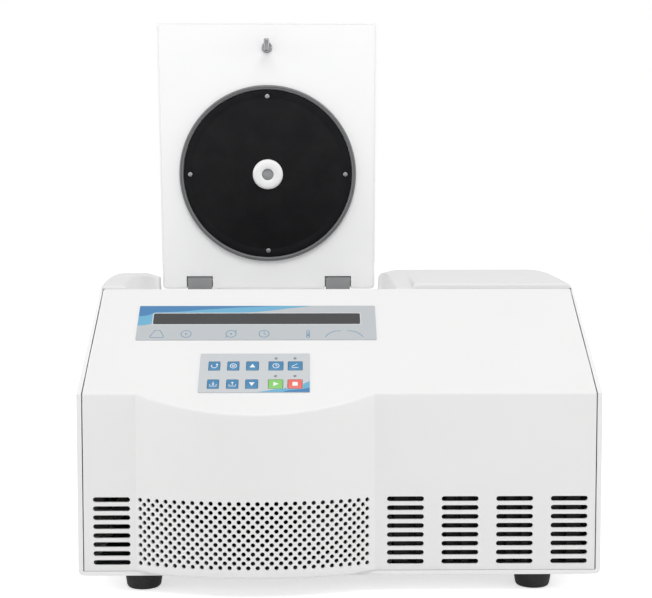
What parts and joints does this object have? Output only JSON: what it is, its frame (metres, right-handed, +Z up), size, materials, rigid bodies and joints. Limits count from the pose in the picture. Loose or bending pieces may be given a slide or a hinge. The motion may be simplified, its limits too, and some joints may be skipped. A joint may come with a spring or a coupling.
{
  "type": "refrigerated bench centrifuge",
  "caption": "Bench centrifuge with a bowed grille front, sloped keypad panel, hinged round-lined lid, latched chamber and an angle rotor under its own screw lid.",
  "frame": {"origin": "on the bench under the middle of the machine", "axes": "+X to the right seen from the front, +Y to the back, +Z up"},
  "size_m": [0.6, 0.594, 0.7143],
  "materials": {
    "shell_white": "satin, lightly textured",
    "panel_white": "satin, lightly textured",
    "cover_white": "satin",
    "lid_white": "satin",
    "panel_steel": "satin",
    "overlay_grey": "satin film with blue bands",
    "window_dark": "gloss",
    "keypad_grey": "satin film with a blue wedge",
    "key_blue": "satin",
    "key_green": "satin",
    "key_red": "satin",
    "board_green": "satin",
    "black_plastic": "satin",
    "foot_rubber": "matt",
    "bowl_steel": "brushed",
    "foam": "matt",
    "zinc_steel": "zinc plated",
    "motor_black": "satin",
    "steel": "turned",
    "rotor_aluminium": "anodised, turned",
    "knob_black": "satin",
    "hinge_grey": "satin",
    "liner_black": "matt",
    "gasket_grey": "matt",
    "lens_clear": "clear",
    "striker_chrome": "polished",
    "coil_steel": "satin",
    "condenser_aluminium": "mill finish",
    "core_iron": "laminated"
  },
  "bodies": {
    "chassis": {"outer_shell": "shell_white", "front_panel": "panel_white", "display_overlay": "overlay_grey", "display_window": "window_dark", "keypad_overlay": "keypad_grey", "control_board": "board_green", "top_cover": "cover_white", "rear_panel": "shell_white", "power_inlet": "black_plastic", "switch_frame": "black_plastic", "fuse_holder": "black_plastic", "foot_front_left": "foot_rubber", "foot_rear_left": "foot_rubber", "foot_front_right": "foot_rubber", "foot_rear_right": "foot_rubber", "chamber_bowl": "bowl_steel", "chamber_insulation": "foam", "chamber_seal": "gasket_grey", "base_plate": "zinc_steel", "motor_mount_plate": "zinc_steel", "motor_dampers": "foot_rubber", "motor": "motor_black", "hinge_brackets": "hinge_grey", "hinge_pins": "steel", "lock_housing": "black_plastic", "lock_solenoid": "coil_steel", "condenser": "condenser_aluminium", "fan_shroud": "coil_steel", "fan_motor": "motor_black", "compressor": "motor_black", "power_board": "board_green", "transformer": "core_iron"},
    "lid": {"lid_shell": "lid_white", "lid_inner_panel": "panel_steel", "lid_core": "foam", "lid_liner": "liner_black", "lid_gasket": "gasket_grey", "viewport_ring": "lid_white", "viewport_lens": "lens_clear", "liner_screws": "steel", "lid_striker": "striker_chrome"},
    "rotor": {"spindle": "steel", "rotor": "rotor_aluminium", "rotor_nut": "steel"},
    "rotor_lid": {"rotor_lid": "rotor_aluminium", "rotor_lid_knob": "knob_black"},
    "fan": {"fan_rotor": "black_plastic"},
    "rocker": {"switch_rocker": "black_plastic"},
    "bolt": {"lock_bolt": "steel"},
    "key_speed": {"key_speed": "key_blue"},
    "key_force": {"key_force": "key_blue"},
    "key_up": {"key_up": "key_blue"},
    "key_timer": {"key_timer": "key_blue"},
    "key_open": {"key_open": "key_blue"},
    "key_save": {"key_save": "key_blue"},
    "key_recall": {"key_recall": "key_blue"},
    "key_down": {"key_down": "key_blue"},
    "key_start": {"key_start": "key_green"},
    "key_stop": {"key_stop": "key_red"}
  },
  "joints": [
    {"name": "lid_hinge", "type": "hinge", "parent": "chassis", "child": "lid", "pos_m": [-0.0965, 0.269, 0.334], "axis": [-1, 0, 0], "range_deg": [-81.2, 0]},
    {"name": "rotor_spin", "type": "hinge", "parent": "chassis", "child": "rotor", "pos_m": [-0.0965, 0.107, 0.2], "axis": [0, 0, 1], "continuous": true},
    {"name": "rotor_lid_lift", "type": "slide", "parent": "rotor", "child": "rotor_lid", "axis": [0, 0, 1], "range_m": [0, 0.12]},
    {"name": "fan_spin", "type": "hinge", "parent": "chassis", "child": "fan", "pos_m": [0.17, -0.209, 0.113], "axis": [0, 1, 0], "continuous": true},
    {"name": "switch_rock", "type": "hinge", "parent": "chassis", "child": "rocker", "pos_m": [0.18, 0.291, 0.072], "axis": [1, 0, 0], "range_deg": [0, 14]},
    {"name": "bolt_slide", "type": "slide", "parent": "chassis", "child": "bolt", "axis": [1, 0, 0], "range_m": [0, 0.014]},
    {"name": "key_speed_press", "type": "slide", "parent": "chassis", "child": "key_speed", "axis": [0, 0.6017, -0.7987], "range_m": [0, 0.0005], "stiffness_N_per_m": 3000, "springref_m": -0.0002},
    {"name": "key_force_press", "type": "slide", "parent": "chassis", "child": "key_force", "axis": [0, 0.6017, -0.7987], "range_m": [0, 0.0005], "stiffness_N_per_m": 3000, "springref_m": -0.0002},
    {"name": "key_up_press", "type": "slide", "parent": "chassis", "child": "key_up", "axis": [0, 0.6017, -0.7987], "range_m": [0, 0.0005], "stiffness_N_per_m": 3000, "springref_m": -0.0002},
    {"name": "key_timer_press", "type": "slide", "parent": "chassis", "child": "key_timer", "axis": [0, 0.6017, -0.7987], "range_m": [0, 0.0005], "stiffness_N_per_m": 3000, "springref_m": -0.0002},
    {"name": "key_open_press", "type": "slide", "parent": "chassis", "child": "key_open", "axis": [0, 0.6017, -0.7987], "range_m": [0, 0.0005], "stiffness_N_per_m": 3000, "springref_m": -0.0002},
    {"name": "key_save_press", "type": "slide", "parent": "chassis", "child": "key_save", "axis": [0, 0.6017, -0.7987], "range_m": [0, 0.0005], "stiffness_N_per_m": 3000, "springref_m": -0.0002},
    {"name": "key_recall_press", "type": "slide", "parent": "chassis", "child": "key_recall", "axis": [0, 0.6017, -0.7987], "range_m": [0, 0.0005], "stiffness_N_per_m": 3000, "springref_m": -0.0002},
    {"name": "key_down_press", "type": "slide", "parent": "chassis", "child": "key_down", "axis": [0, 0.6017, -0.7987], "range_m": [0, 0.0005], "stiffness_N_per_m": 3000, "springref_m": -0.0002},
    {"name": "key_start_press", "type": "slide", "parent": "chassis", "child": "key_start", "axis": [0, 0.6017, -0.7987], "range_m": [0, 0.0005], "stiffness_N_per_m": 3000, "springref_m": -0.0002},
    {"name": "key_stop_press", "type": "slide", "parent": "chassis", "child": "key_stop", "axis": [0, 0.6017, -0.7987], "range_m": [0, 0.0005], "stiffness_N_per_m": 3000, "springref_m": -0.0002}
  ]
}
